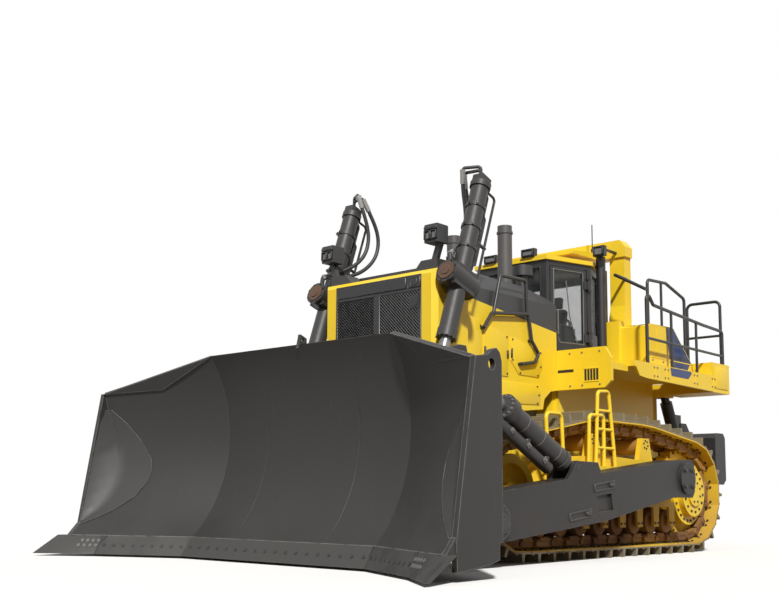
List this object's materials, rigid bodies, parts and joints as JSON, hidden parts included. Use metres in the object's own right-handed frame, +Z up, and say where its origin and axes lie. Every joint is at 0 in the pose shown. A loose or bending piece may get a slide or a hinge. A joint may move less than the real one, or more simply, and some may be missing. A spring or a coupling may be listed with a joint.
{
  "type": "bulldozer",
  "caption": "Large crawler bulldozer with a full-U blade on push arms, lift and tilt cylinders, a cab with opening doors, and a ripper that lifts on parallel arms.",
  "frame": {"origin": "on the ground under the middle of the machine's length and width", "axes": "+X forward, towards the blade; +Y to the machine's left; +Z up"},
  "size_m": [11.017, 6.204, 4.895],
  "materials": {
    "yellow_paint": "yellow machine paint",
    "dark_paint": "dark grey paint, scuffed",
    "worn_steel": "bare worn steel",
    "rod_chrome": "polished rod",
    "glass": "clear tinted glass",
    "hose_rubber": "black hose cover",
    "seat_fabric": "dark woven cover",
    "console_plastic": "grained plastic",
    "engine_iron": "cast block"
  },
  "bodies": {
    "tractor": {"main_frame": "yellow_paint", "cross_shafts": "yellow_paint", "track_frames": "yellow_paint", "tracks": "worn_steel", "sprockets": "yellow_paint", "final_drives": "yellow_paint", "idlers": "yellow_paint", "track_rollers": "yellow_paint", "carrier_rollers": "yellow_paint", "ladders": "yellow_paint", "radiator_guard": "yellow_paint", "grille": "dark_paint", "radiator": "dark_paint", "engine": "engine_iron", "hood": "dark_paint", "side_panels": "yellow_paint", "hood_rails": "dark_paint", "exhaust_stacks": "dark_paint", "precleaners": "dark_paint", "hood_lamps": "dark_paint", "cab_frame": "dark_paint", "cab_roof": "yellow_paint", "aerial": "hose_rubber", "cab_glass": "glass", "cab_lamps": "dark_paint", "seat": "seat_fabric", "console": "console_plastic", "rollover_frame": "yellow_paint", "platforms": "yellow_paint", "rear_tanks": "yellow_paint", "handrails": "dark_paint", "ripper_bracket": "yellow_paint"},
    "door_left": {"door_left": "dark_paint", "door_left_glass": "glass"},
    "door_right": {"door_right": "dark_paint", "door_right_glass": "glass"},
    "push_arms": {"push_arms": "dark_paint"},
    "blade": {"blade": "dark_paint", "cutting_edges": "worn_steel", "end_bits": "worn_steel"},
    "lift_barrel_left": {"lift_barrel_left": "dark_paint", "lift_hose_left_front": "hose_rubber", "lift_hose_left_rear": "hose_rubber"},
    "lift_barrel_right": {"lift_barrel_right": "dark_paint", "lift_hose_right_front": "hose_rubber", "lift_hose_right_rear": "hose_rubber"},
    "lift_rod_left": {"lift_rod_left": "rod_chrome"},
    "lift_rod_right": {"lift_rod_right": "rod_chrome"},
    "tilt_barrel_left": {"tilt_barrel_left": "dark_paint"},
    "tilt_barrel_right": {"tilt_barrel_right": "dark_paint"},
    "tilt_rod_left": {"tilt_rod_left": "rod_chrome"},
    "tilt_rod_right": {"tilt_rod_right": "rod_chrome"},
    "ripper_arm": {"ripper_arm": "dark_paint"},
    "ripper_beam": {"ripper_beam": "dark_paint", "ripper_shank": "dark_paint"},
    "ripper_links": {"ripper_links": "dark_paint"},
    "ripper_barrels": {"ripper_barrels": "dark_paint"},
    "ripper_rods": {"ripper_rods": "rod_chrome"}
  },
  "joints": [
    {"name": "blade_lift", "type": "hinge", "parent": "tractor", "child": "push_arms", "pos_m": [-1.2885, 0, 1.04], "axis": [0, -1, 0], "range_deg": [-10, 15.5]},
    {"name": "blade_pitch", "type": "hinge", "parent": "push_arms", "child": "blade", "pos_m": [3.1215, 0, 0.482], "axis": [0, 1, 0], "range_deg": [-5, 5]},
    {"name": "door_left_swing", "type": "hinge", "parent": "tractor", "child": "door_left", "pos_m": [-1.02177, 0.83823, 3.3], "axis": [0, 0, 1], "range_deg": [0, 90]},
    {"name": "door_right_swing", "type": "hinge", "parent": "tractor", "child": "door_right", "pos_m": [-1.02177, -0.83823, 3.3], "axis": [0, 0, -1], "range_deg": [0, 90]},
    {"name": "ripper_lift", "type": "hinge", "parent": "tractor", "child": "ripper_arm", "pos_m": [-3.5885, 0, 0.95], "axis": [0, 1, 0], "range_deg": [-35, 28]},
    {"name": "ripper_beam_level", "type": "hinge", "parent": "ripper_arm", "child": "ripper_beam", "pos_m": [-4.9085, 0, 1.1], "axis": [0, 1, 0], "range_deg": [-28.5, 35.5]},
    {"name": "ripper_link_swing", "type": "hinge", "parent": "tractor", "child": "ripper_links", "pos_m": [-3.5085, 0, 1.8], "axis": [0, 1, 0], "range_deg": [-35.5, 28.5]},
    {"name": "ripper_barrel_swing", "type": "hinge", "parent": "tractor", "child": "ripper_barrels", "pos_m": [-3.3885, 0, 2.48], "axis": [0, 1, 0], "range_deg": [-1.09, 1.24]},
    {"name": "ripper_rod_slide", "type": "slide", "parent": "ripper_barrels", "child": "ripper_rods", "axis": [-0.453, 0, -0.8915], "range_m": [-0.2454, 0.3055]},
    {"name": "lift_barrel_left_swing", "type": "hinge", "parent": "tractor", "child": "lift_barrel_left", "pos_m": [2.4115, 1.1, 3.35], "axis": [0, -1, 0], "range_deg": [-6.59, 9.93]},
    {"name": "lift_rod_left_slide", "type": "slide", "parent": "lift_barrel_left", "child": "lift_rod_left", "axis": [0.3304, 0, -0.9439], "range_m": [-1.1601, 0.7503]},
    {"name": "tilt_barrel_left_swing", "type": "hinge", "parent": "push_arms", "child": "tilt_barrel_left", "pos_m": [1.4235, 1.985, 1.104], "axis": [0, 1, 0], "range_deg": [-3.03, 3.03]},
    {"name": "tilt_rod_left_slide", "type": "slide", "parent": "tilt_barrel_left", "child": "tilt_rod_left", "axis": [0.8994, 0, 0.4371], "range_m": [-0.1186, 0.1186]},
    {"name": "lift_barrel_right_swing", "type": "hinge", "parent": "tractor", "child": "lift_barrel_right", "pos_m": [2.4115, -1.1, 3.35], "axis": [0, -1, 0], "range_deg": [-6.59, 9.93]},
    {"name": "lift_rod_right_slide", "type": "slide", "parent": "lift_barrel_right", "child": "lift_rod_right", "axis": [0.3304, 0, -0.9439], "range_m": [-1.1601, 0.7503]},
    {"name": "tilt_barrel_right_swing", "type": "hinge", "parent": "push_arms", "child": "tilt_barrel_right", "pos_m": [1.4235, -1.985, 1.104], "axis": [0, 1, 0], "range_deg": [-3.03, 3.03]},
    {"name": "tilt_rod_right_slide", "type": "slide", "parent": "tilt_barrel_right", "child": "tilt_rod_right", "axis": [0.8994, 0, 0.4371], "range_m": [-0.1186, 0.1186]}
  ],
  "couplings": [
    {"joint": "ripper_beam_level", "follows": "ripper_lift", "ratio": -1},
    {"joint": "ripper_link_swing", "follows": "ripper_lift", "ratio": 1},
    {"joint": "ripper_barrel_swing", "follows": "ripper_lift", "ratio": -0.021},
    {"joint": "ripper_rod_slide", "follows": "ripper_lift", "m_per_rad": -0.492},
    {"joint": "lift_barrel_left_swing", "follows": "blade_lift", "ratio": 0.6085},
    {"joint": "lift_rod_left_slide", "follows": "blade_lift", "m_per_rad": -4.27},
    {"joint": "tilt_barrel_left_swing", "follows": "blade_pitch", "ratio": 0.5065},
    {"joint": "tilt_rod_left_slide", "follows": "blade_pitch", "m_per_rad": 1.302},
    {"joint": "lift_barrel_right_swing", "follows": "blade_lift", "ratio": 0.6085},
    {"joint": "lift_rod_right_slide", "follows": "blade_lift", "m_per_rad": -4.27},
    {"joint": "tilt_barrel_right_swing", "follows": "blade_pitch", "ratio": 0.5065},
    {"joint": "tilt_rod_right_slide", "follows": "blade_pitch", "m_per_rad": 1.302}
  ]
}
